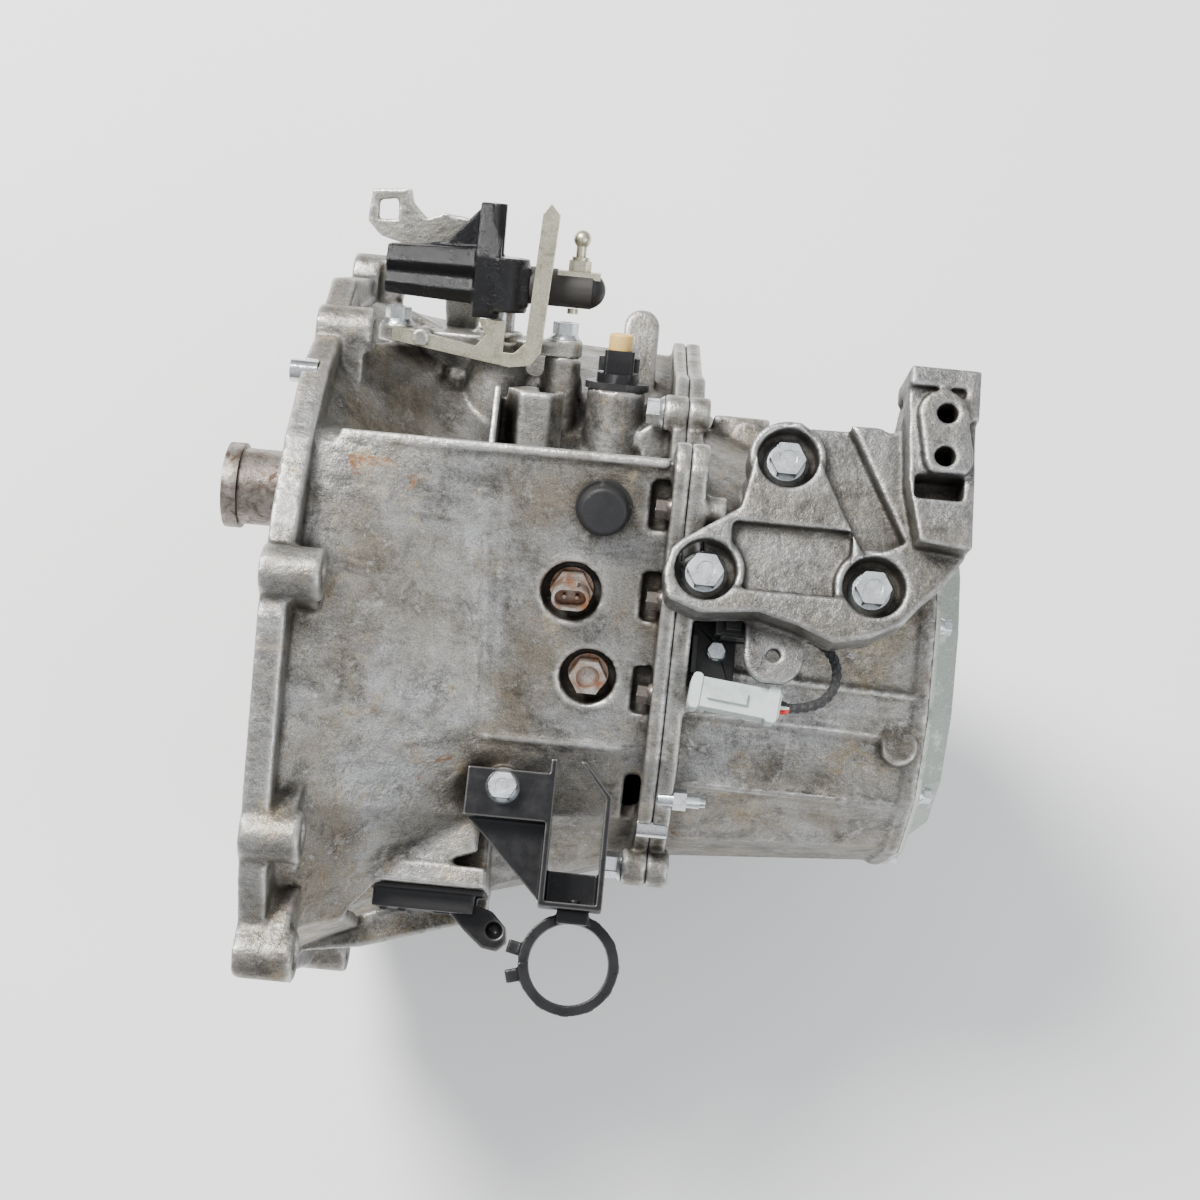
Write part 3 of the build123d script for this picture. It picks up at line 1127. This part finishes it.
def shift_counterweight():
    """The heavy cast arm with a ribbed body and a tall fin, clamped to the selector shaft."""
    plane = tower_plane(*SELECTOR_BASE)
    x, y, z = SELECTOR_BASE
    slant = math.radians(TILT)
    section = [(-16, 17), (8, 16.5), (12, 24), (8, 31), (12, 38), (6, 48), (-16, 48)]

    def at_end(dx, scale):
        corners = []
        for depth, along in section:
            level = 32 + (along - 32) * scale
            out = depth * scale
            corners.append((x + dx, y + level * math.cos(slant) - out * math.sin(slant),
                            z + level * math.sin(slant) + out * math.cos(slant)))
        return Wire.make_polygon(corners, close=True)

    body = Solid.make_loft([at_end(-66, 0.86), at_end(-8, 1.0)], ruled=True)
    fin_points = [(-14, 8), (12, 10), (12, 44), (2, 73), (-14, 73)]
    fin_corners = []
    for out, level in fin_points:
        fin_corners.append((x - 16, y + level * math.cos(slant) - out * math.sin(slant),
                            z + level * math.sin(slant) + out * math.cos(slant)))
    fin = extrude(Face(Wire.make_polygon(fin_corners, close=True)), amount=14, dir=(1, 0, 0))
    web = side_plate([(-54, 46), (-34, 50), (-14, 72), (-10, 46)], -13, -3)
    hub = rod(plane, 14.0, 14, 44)
    neck = extrude(plane.offset(18) * Pos(8, 0) * Rectangle(14, 20), amount=22, dir=plane.z_dir)
    return body + fin + web + hub + neck - rod(plane, 8.0, 0, 80)


def selector_lever_arm():
    """The round rubber-covered arm that carries the ball stud."""
    plane = tower_plane(*SELECTOR_BASE)
    centre = plane.from_local_coords(Vector(0, 0, 30))
    along = Plane(origin=centre, x_dir=plane.y_dir, z_dir=(1, 0, 0))
    arm = rod(along, 10.5, 15.0, 50)
    tip = along.offset(47) * Sphere(10.5)
    arm = arm + tip
    seat_face = tower_plane(*selector_spot(42, 0)).offset(36) * Rectangle(24, 15)
    seat = extrude(seat_face, amount=5.5, dir=plane.z_dir)
    return arm - seat


def ball_stud():
    """The shift linkage ball on its small plate, with the pin below the arm."""
    plane = tower_plane(*selector_spot(42, 0))
    foot = extrude(plane.offset(36) * Rectangle(24, 15), amount=4, dir=plane.z_dir)
    stem = prism(plane, 11, 40, 46) + rod(plane, 3.0, 46, 56) + rod(plane, 5.0, 46, 48)
    ball = plane.offset(58) * Sphere(5.0)
    pin = rod(tower_plane(*selector_spot(40, 0)), 3.2, 16.2, 19)
    return [foot + stem + ball, pin]


def selector_arm():
    """The light alloy arm with a square eye, behind the counterweight."""
    outline = [
        (-34, -6), (-16, -6), (-14, 20), (-16, 52), (-22, 62), (-40, 64), (-50, 60),
        (-58, 68), (-60, 76), (-82, 74), (-84, 56), (-76, 48), (-60, 44), (-40, 40), (-36, 20),
    ]
    arm = side_plate(outline, -42, -34)
    return arm - side_plate([(-78, 57), (-66, 58), (-67, 70), (-78, 68)], -43, -33)


# ---------------------------------------------------------------- clutch release


def guide_tube():
    plane = shaft_plane(INPUT_AXIS, 0)
    tube_part = tube(plane, GUIDE_R[1], GUIDE_R[0], GUIDE_X[0], GUIDE_X[1])
    flange = tube(plane, 30, GUIDE_R[0], GUIDE_X[1] - 4, GUIDE_X[1])
    part = tube_part + flange
    for spot in GUIDE_SCREWS:
        part = part - rod(shaft_plane(spot, 0), SMALL_R + 0.2, GUIDE_X[1] - 5, GUIDE_X[1] + 1)
    return part


GUIDE_SCREWS = polar_spots(INPUT_AXIS, 24.5, (30, 150, 270))


def release_bearing():
    plane = shaft_plane(INPUT_AXIS, 0)
    start, end = RELEASE_BEARING_X
    carrier = tube(plane, 22, GUIDE_R[1] + RUNNING_GAP, start + 4, end)
    collar = tube(plane, 28, GUIDE_R[1] + RUNNING_GAP, end - 3, end)
    cup = tube(plane, RELEASE_BEARING_R, 22, start + 3, end - 4)
    nose = tube(plane, 29, 21, start, start + 4)
    return carrier + collar + cup + nose


def release_fork():
    """The pressed fork: two tines behind the release bearing and the long arm to the outside."""
    plan = [
        (87, -28), (92, -28), (99, -100), (101, -148), (107, -157), (122, -161), (130, -169), (131, -177),
        (126, -182), (118, -181), (108, -173), (98, -163), (92, -150), (90, -100), (87, -45),
    ]
    arm = plan_slab(plan, FORK_Z - 11, FORK_Z + 11)
    tines = block((87, 92), (-48, 12), (-28, 28)) - block((86, 93), (-21, 13), (-20, 20))
    pads = Pos(88, 0, 23.5) * Cylinder(4, 7) + Pos(88, 0, -23.5) * Cylinder(4, 7)
    dimple = Pos(124, -171, FORK_Z + 11) * Sphere(4.5)
    body = arm + tines + pads - dimple
    return body - rod(pivot_plane(), PIVOT_R + 0.3, -12, 12)


def pivot_plane():
    return upright(FORK_PIVOT[0], FORK_PIVOT[1], FORK_Z)


def fork_pivot():
    """The upright barrel that the fork rocks on, with its stud into the bulkhead."""
    stud = rod(shaft_plane((FORK_PIVOT[1], FORK_Z), FORK_PIVOT[0]), 4.0, 3, 18)
    return rod(pivot_plane(), PIVOT_R, -8, 8) + stud


def fork_boot():
    """The rubber boot over the window of the release fork."""
    base = block((54, 117.5), (-154, -151), (4, 58))
    body = block((58, 112), (-164, -154), (8, 54))
    lips = block((62, 66), (-166, -164), (12, 50)) + block((72, 76), (-166, -164), (12, 50))
    passage = block((89, 114.5), (-170, -150), (FORK_Z - 11.6, FORK_Z + 11.6))
    return base + body + lips - passage


# ---------------------------------------------------------------- shafts and gears


def input_shaft():
    plane = shaft_plane(INPUT_AXIS, 0)
    shaft = rod(plane, INPUT_NOSE_R, INPUT_NOSE_X, 10)
    shaft = shaft + splined_rod(plane, CLUTCH_SPLINE_R - 1.4, CLUTCH_SPLINE_R, 20, 0.5, 8, 50)
    shaft = shaft + rod(plane, INPUT_R, 50, FIRST_X[1]) + rod(plane, INPUT_GEAR_R, FIRST_X[1], REAR_BEARING_X)
    shaft = shaft + rod(plane, FIFTH_SEAT_R, REAR_BEARING_X, HUB_TOP_X[1] + 1)
    facing = driver_phase(INPUT_AXIS, OUTPUT_AXIS)
    reverse = spur_gear(INPUT_AXIS, REVERSE_X, REVERSE_TEETH[0], REVERSE_MODULE, facing)
    first_module = pair_module(FIRST_TEETH, INPUT_AXIS, OUTPUT_AXIS)
    second_module = pair_module(SECOND_TEETH, INPUT_AXIS, OUTPUT_AXIS)
    first = spur_gear(INPUT_AXIS, FIRST_X, FIRST_TEETH[0], first_module, facing)
    second = spur_gear(INPUT_AXIS, SECOND_X, SECOND_TEETH[0], second_module, facing)
    return shaft + reverse + first + second


def free_gear(axis, x_range, pair, bore_r, dog_side):
    """A gear that turns on its shaft, with the dog ring on the side of its synchroniser."""
    module = pair_module(pair, INPUT_AXIS, OUTPUT_AXIS)
    if axis == INPUT_AXIS:
        gear = spur_gear(axis, x_range, pair[0], module, driver_phase(axis, OUTPUT_AXIS))
    else:
        gear = spur_gear(axis, x_range, pair[1], module, driven_phase(axis, INPUT_AXIS, pair[1]))
    dog_start = x_range[1] if dog_side > 0 else x_range[0] - DOG_WIDTH
    plane = shaft_plane(axis, dog_start)
    ring = splined_rod(plane, DOG_R - 1.6, DOG_R, HUB_SPLINES, 0.5, 0, DOG_WIDTH)
    return gear + ring - rod(shaft_plane(axis, 0), bore_r + RUNNING_GAP, x_range[0] - 10, x_range[1] + 10)


def first_gear_driven():
    return free_gear(OUTPUT_AXIS, FIRST_X, FIRST_TEETH, OUTPUT_R, 1)


def second_gear_driven():
    return free_gear(OUTPUT_AXIS, SECOND_X, SECOND_TEETH, OUTPUT_R, -1)


def third_gear_drive():
    return free_gear(INPUT_AXIS, THIRD_X, THIRD_TEETH, INPUT_GEAR_R, 1)


def fourth_gear_drive():
    return free_gear(INPUT_AXIS, FOURTH_X, FOURTH_TEETH, INPUT_GEAR_R, -1)


def fifth_gear_drive():
    return free_gear(INPUT_AXIS, FIFTH_X, FIFTH_TEETH, FIFTH_SEAT_R, 1)


def input_hubs():
    return [
        synchro_hub(INPUT_AXIS, HUB_HIGH_X, INPUT_GEAR_R),
        synchro_hub(INPUT_AXIS, HUB_TOP_X, FIFTH_SEAT_R),
    ]


def output_hub():
    return synchro_hub(OUTPUT_AXIS, HUB_LOW_X, OUTPUT_R)


def ring_start(hub_x, side):
    if side > 0:
        return hub_x[1] + RING_GAP
    return hub_x[0] - RING_GAP - BLOCKER_WIDTH


def input_blocker_rings():
    return [
        blocker_ring(INPUT_AXIS, ring_start(HUB_HIGH_X, -1), INPUT_GEAR_R + 3),
        blocker_ring(INPUT_AXIS, ring_start(HUB_HIGH_X, 1), INPUT_GEAR_R + 3),
    ]


def output_blocker_rings():
    return [
        blocker_ring(OUTPUT_AXIS, ring_start(HUB_LOW_X, -1), OUTPUT_R + 3),
        blocker_ring(OUTPUT_AXIS, ring_start(HUB_LOW_X, 1), OUTPUT_R + 3),
    ]


def output_shaft():
    """The output shaft with its final-drive pinion and end nut."""
    plane = shaft_plane(OUTPUT_AXIS, 0)
    shaft = rod(plane, OUTPUT_BEARING[0], FRONT_BEARING_X, 146) + rod(plane, OUTPUT_R, 145, REAR_BEARING_X)
    shaft = shaft + rod(plane, OUTPUT_BEARING[0], REAR_BEARING_X, 350)
    module = pair_module(FINAL_TEETH, OUTPUT_AXIS, FINAL_AXIS)
    pinion = spur_gear(OUTPUT_AXIS, PINION_X, FINAL_TEETH[0], module, driver_phase(OUTPUT_AXIS, FINAL_AXIS))
    nut = prism(plane, 36, 340.5, 348)
    return shaft + pinion + nut


def output_gears():
    """The driven gears fixed to the output shaft: reverse, third, fourth and fifth."""
    gears = []
    spot_phase = driven_phase(OUTPUT_AXIS, IDLER_AXIS, REVERSE_TEETH[2])
    gears.append(spur_gear(OUTPUT_AXIS, REVERSE_X, REVERSE_TEETH[2], REVERSE_MODULE, spot_phase, OUTPUT_R))
    for teeth, x_range, bore in (
        (THIRD_TEETH, THIRD_X, OUTPUT_R),
        (FOURTH_TEETH, FOURTH_X, OUTPUT_R),
        (FIFTH_TEETH, FIFTH_X, OUTPUT_BEARING[0]),
    ):
        module = pair_module(teeth, INPUT_AXIS, OUTPUT_AXIS)
        phase = driven_phase(OUTPUT_AXIS, INPUT_AXIS, teeth[1])
        gear = spur_gear(OUTPUT_AXIS, x_range, teeth[1], module, phase, bore)
        root_r = teeth[1] * module / 2 - 2 * module
        plane = shaft_plane(OUTPUT_AXIS, x_range[0])
        width = x_range[1] - x_range[0]
        gear = gear - web_recess(plane, bore + 7, root_r - 3, 3, -0.01)
        gears.append(gear - web_recess(plane, bore + 7, root_r - 3, 3.01, width - 3))
    return gears


def reverse_idler():
    plane = shaft_plane(IDLER_AXIS, 0)
    gear = spur_gear(IDLER_AXIS, IDLER_X, REVERSE_TEETH[1], REVERSE_MODULE, 0.0)
    collar = rod(plane, 13, IDLER_X[0] - 9, IDLER_X[0] + 1)
    groove = tube(plane, 14, 10.5, IDLER_X[0] - 6.5, IDLER_X[0] - 2.5)
    return gear + collar - groove - rod(plane, 7.0 + RUNNING_GAP, 120, 220)


def reverse_idler_shaft():
    plane = shaft_plane(IDLER_AXIS, 0)
    return rod(plane, 7.0, 125, 199)


def fork_rail():
    plane = shaft_plane(RAIL_AXIS, 0)
    return rod(plane, 6.0, 125, 355.5)


def shift_fork(axis, middle_x, boss_start, boss_end):
    """A fork that slides on the rail and reaches into the groove of a sleeve."""
    plane = shaft_plane(axis, middle_x)
    half = (GROOVE_WIDTH - 0.6) / 2
    ring = tube(plane, 50, GROOVE_R + 0.4, -half, half)
    turn = mesh_angle(axis, RAIL_AXIS)
    keep = plane * Rot(0, 0, turn) * Pos(33, 0, 0) * Box(74, 120, 20)
    pads = ring & keep
    distance = math.dist(axis, RAIL_AXIS)
    arm_start = 45
    arm_end = distance - 7
    bar = Pos((arm_start + arm_end) / 2, 0, 0) * Box(arm_end - arm_start, 22, 2 * half)
    arm = plane * Rot(0, 0, turn) * bar
    rail = shaft_plane(RAIL_AXIS, 0)
    boss = rod(rail, 9, boss_start, boss_end)
    return pads + arm + boss - rod(rail, 6.0 + RUNNING_GAP, boss_start - 1, boss_end + 1)


# ---------------------------------------------------------------- differential


def differential_case():
    plane = shaft_plane(FINAL_AXIS, 0)
    case = rod(plane, TRUNNION_R, TRUNNION_X[0], TRUNNION_X[1])
    case = case + rod(plane, RING_BORE_R, FINAL_BODY_X[0] - 8, FINAL_BODY_X[0] + 1)
    case = case + rod(plane, RING_FLANGE_R, FINAL_BODY_X[0], RING_FLANGE_X)
    case = case + rod(plane, FINAL_CASE_R, FINAL_BODY_X[0], FINAL_BODY_X[1])
    case = case + Solid.make_cone(36, 27, 24, plane.offset(FINAL_BODY_X[0] - 8).rotated((180, 0, 0)))
    cavity_start = FINAL_CENTRE_X - FINAL_CAVITY_HALF
    cavity = rod(plane, FINAL_CAVITY_R, cavity_start, cavity_start + 2 * FINAL_CAVITY_HALF)
    case = case - cavity - rod(plane, FINAL_BORE_R, TRUNNION_X[0] - 1, TRUNNION_X[1] + 1)
    window = Pos(FINAL_CENTRE_X, FINAL_AXIS[0], FINAL_AXIS[1]) * Rot(90, 0, 0) * Cylinder(22, 140)
    case = case - window
    case = case - rod(pin_plane(), PLANET_PIN_R, -60, 60)
    for spot in RING_BOLTS:
        case = case - rod(shaft_plane(spot, 0), BOLT_R, FINAL_BODY_X[0] - 1, RING_FLANGE_X + 1)
    return case


RING_BOLTS = polar_spots(FINAL_AXIS, RING_BOLT_CIRCLE, range(0, 360, 45))


def pin_plane():
    return upright(FINAL_CENTRE_X, FINAL_AXIS[0], FINAL_AXIS[1])


def ring_gear():
    module = pair_module(FINAL_TEETH, OUTPUT_AXIS, FINAL_AXIS)
    phase = driven_phase(FINAL_AXIS, OUTPUT_AXIS, FINAL_TEETH[1])
    gear = spur_gear(FINAL_AXIS, RING_X, FINAL_TEETH[1], module, phase, RING_BORE_R)
    for spot in RING_BOLTS:
        gear = gear - rod(shaft_plane(spot, 0), BOLT_R, RING_X[0] - 1, RING_X[1] + 1)
    return gear


def ring_gear_bolts():
    bolts = []
    for spot in RING_BOLTS:
        plane = engine_facing(RING_X[0], spot)
        head = prism(plane, BOLT_HEX, 0, 4.5)
        bolts.append(head + rod(plane, BOLT_R, -33, 0.5))
    return bolts


def differential_pin():
    return rod(pin_plane(), PLANET_PIN_R, -47, 47)


def bevel_teeth(plane, teeth, far, near, phase_deg):
    """Straight bevel teeth between two distances from the cone point."""
    points = gear_points(teeth, BEVEL_MODULE, phase_deg, 0.42, 1.40, 0.52)
    scale = near / far
    small = [(a * scale, b * scale) for a, b in points]
    large_wire = outline_face(points, plane.offset(far)).outer_wire()
    small_wire = outline_face(small, plane.offset(near)).outer_wire()
    return Solid.make_loft([small_wire, large_wire], ruled=True)


def side_gear(direction):
    centre = (FINAL_CENTRE_X, FINAL_AXIS[0], FINAL_AXIS[1])
    plane = Plane(origin=centre, x_dir=(0, 0, 1), z_dir=(direction, 0, 0))
    far = BEVEL_TEETH[1] * BEVEL_MODULE / 2
    gear = bevel_teeth(plane, BEVEL_TEETH[0], far, far * 0.68, 0.0)
    gear = gear + rod(plane, 28.8, far - 0.5, far + 5) + rod(plane, SIDE_HUB_R, far + 4, far + 26)
    bore = splined_rod(plane, DRIVESHAFT_R - 1.0, DRIVESHAFT_R, 24, 0.5, 0, far + 27)
    return gear - bore


def planet_gear(direction):
    centre = (FINAL_CENTRE_X, FINAL_AXIS[0], FINAL_AXIS[1])
    plane = Plane(origin=centre, x_dir=(1, 0, 0), z_dir=(0, 0, direction))
    far = BEVEL_TEETH[0] * BEVEL_MODULE / 2
    gear = bevel_teeth(plane, BEVEL_TEETH[1], far, far * 0.68, 180 / BEVEL_TEETH[1])
    gear = gear + rod(plane, 12, far - 0.5, far + 5)
    return gear - rod(plane, PLANET_PIN_R + RUNNING_GAP, 0, 60)


def differential_extension():
    """The long tube that carries the left driveshaft seal past the engine."""
    plane = shaft_plane(FINAL_AXIS, 0)
    part = rod(plane, 25, -86, 118) + rod(plane, 28, -86, -76) + rod(plane, 31, -8, 0)
    ear = plate([(141, -108), (141, -92), (104, -88), (67, -132), (67, -148), (104, -152)], -8, 0)
    for spot in EXTENSION_BOLTS:
        part = part + rod(shaft_plane(spot, 0), 11, -8, 0)
    part = part + ear
    part = part - rod(plane, 18, -87, 119) - rod(plane, 21, -87, -78)
    for spot in EXTENSION_BOLTS:
        part = part - rod(shaft_plane(spot, 0), BOLT_R + 0.3, -9, 1)
    return part


def shaft_seals():
    """Lip seals: input shaft, left driveshaft and right driveshaft."""
    seals = [tube(shaft_plane(INPUT_AXIS, 0), 20, INPUT_R + 0.3, 113, 121)]
    seals.append(tube(shaft_plane(FINAL_AXIS, 0), 21, 14.5, -86, -78))
    seals.append(tube(shaft_plane(FINAL_AXIS, 0), 30, 14.5, 259.5, FINAL_BOSS_END))
    return seals


# ---------------------------------------------------------------- build


def save(name, shape):
    if isinstance(shape, list):
        shape = Compound(children=[solid_of(one) for one in shape])
    export_step(shape, "parts/" + name + ".step")


def solid_of(shape):
    solids = shape.solids()
    return solids[0] if len(solids) == 1 else Compound(solids)


def bearings():
    """The six ball bearings, as lists of rotating and fixed pieces by shaft."""
    input_front = ball_bearing(INPUT_AXIS, FRONT_BEARING_X, INPUT_BEARING)
    input_rear = ball_bearing(INPUT_AXIS, REAR_BEARING_X, INPUT_BEARING)
    output_front = ball_bearing(OUTPUT_AXIS, FRONT_BEARING_X, OUTPUT_BEARING)
    output_rear = ball_bearing(OUTPUT_AXIS, REAR_BEARING_X, OUTPUT_BEARING)
    final_left = ball_bearing(FINAL_AXIS, FINAL_LEFT_BEARING_X, FINAL_BEARING, BEARING_WIDTH, 12)
    final_right = ball_bearing(FINAL_AXIS, FINAL_RIGHT_BEARING_X, FINAL_BEARING, BEARING_WIDTH, 12)
    outer = [input_front[1], input_rear[1], output_front[1], output_rear[1], final_left[1], final_right[1]]
    return (
        input_front[0] + input_rear[0],
        output_front[0] + output_rear[0],
        final_left[0] + final_right[0],
        outer,
    )


def main():
    os.makedirs("parts", exist_ok=True)
    input_inner, output_inner, final_inner, outer = bearings()
    loom = loom_path()
    nodes = {
        "clutch_housing": clutch_housing,
        "gear_case": gear_case,
        "end_cover": end_cover,
        "small_bolts": small_bolts,
        "case_bolts": case_bolts,
        "oil_plugs": oil_plugs,
        "reverse_light_switch": reverse_light_switch,
        "blanking_cap": blanking_cap,
        "speed_sensor": speed_sensor,
        "speed_sensor_cap": speed_sensor_cap,
        "locating_dowels": locating_dowels,
        "mount_bracket": mount_bracket,
        "mount_bracket_bolts": mount_bracket_bolts,
        "support_bracket": support_bracket,
        "hose_clamp": hose_clamp,
        "sensor_plug": lambda: [sensor_plug(), connector_bracket()],
        "sensor_loom": lambda: sensor_loom(loom),
        "loom_connector": loom_connector,
        "selector_housing": selector_housing,
        "select_lever": select_lever,
        "selector_shaft": selector_shaft,
        "shift_counterweight": shift_counterweight,
        "selector_lever_arm": selector_lever_arm,
        "ball_stud": ball_stud,
        "guide_tube": guide_tube,
        "release_bearing": release_bearing,
        "release_fork": release_fork,
        "fork_boot": fork_boot,
        "input_shaft": input_shaft,
        "input_hubs": input_hubs,
        "first_gear_driven": first_gear_driven,
        "second_gear_driven": second_gear_driven,
        "third_gear_drive": third_gear_drive,
        "fourth_gear_drive": fourth_gear_drive,
        "fifth_gear_drive": fifth_gear_drive,
        "output_shaft": output_shaft,
        "output_gears": lambda: output_gears() + [output_hub()],
        "input_blocker_rings": input_blocker_rings,
        "output_blocker_rings": output_blocker_rings,
        "input_bearing_inners": lambda: input_inner,
        "output_bearing_inners": lambda: output_inner,
        "final_bearing_inners": lambda: final_inner,
        "reverse_idler": reverse_idler,
        "fixed_shafts": lambda: [reverse_idler_shaft(), fork_rail(), fork_pivot()],
        "sleeve_1_2": lambda: synchro_sleeve(OUTPUT_AXIS, HUB_LOW_X),
        "sleeve_3_4": lambda: synchro_sleeve(INPUT_AXIS, HUB_HIGH_X),
        "sleeve_5": lambda: synchro_sleeve(INPUT_AXIS, HUB_TOP_X),
        "fork_1_2": lambda: shift_fork(OUTPUT_AXIS, sum(HUB_LOW_X) / 2, 214, 234),
        "fork_3_4": lambda: shift_fork(INPUT_AXIS, sum(HUB_HIGH_X) / 2, 269, 290),
        "fork_5": lambda: shift_fork(INPUT_AXIS, sum(HUB_TOP_X) / 2, 343, 355),
        "differential_case": differential_case,
        "ring_gear": ring_gear,
        "ring_bolts_and_pin": lambda: ring_gear_bolts() + [differential_pin()],
        "side_gear_left": lambda: side_gear(-1),
        "side_gear_right": lambda: side_gear(1),
        "planet_gear_upper": lambda: planet_gear(1),
        "planet_gear_lower": lambda: planet_gear(-1),
        "differential_extension": differential_extension,
        "bearing_outer_rings": lambda: outer,
        "shaft_seals": shaft_seals,
    }
    for name, make in nodes.items():
        save(name, make())


main()
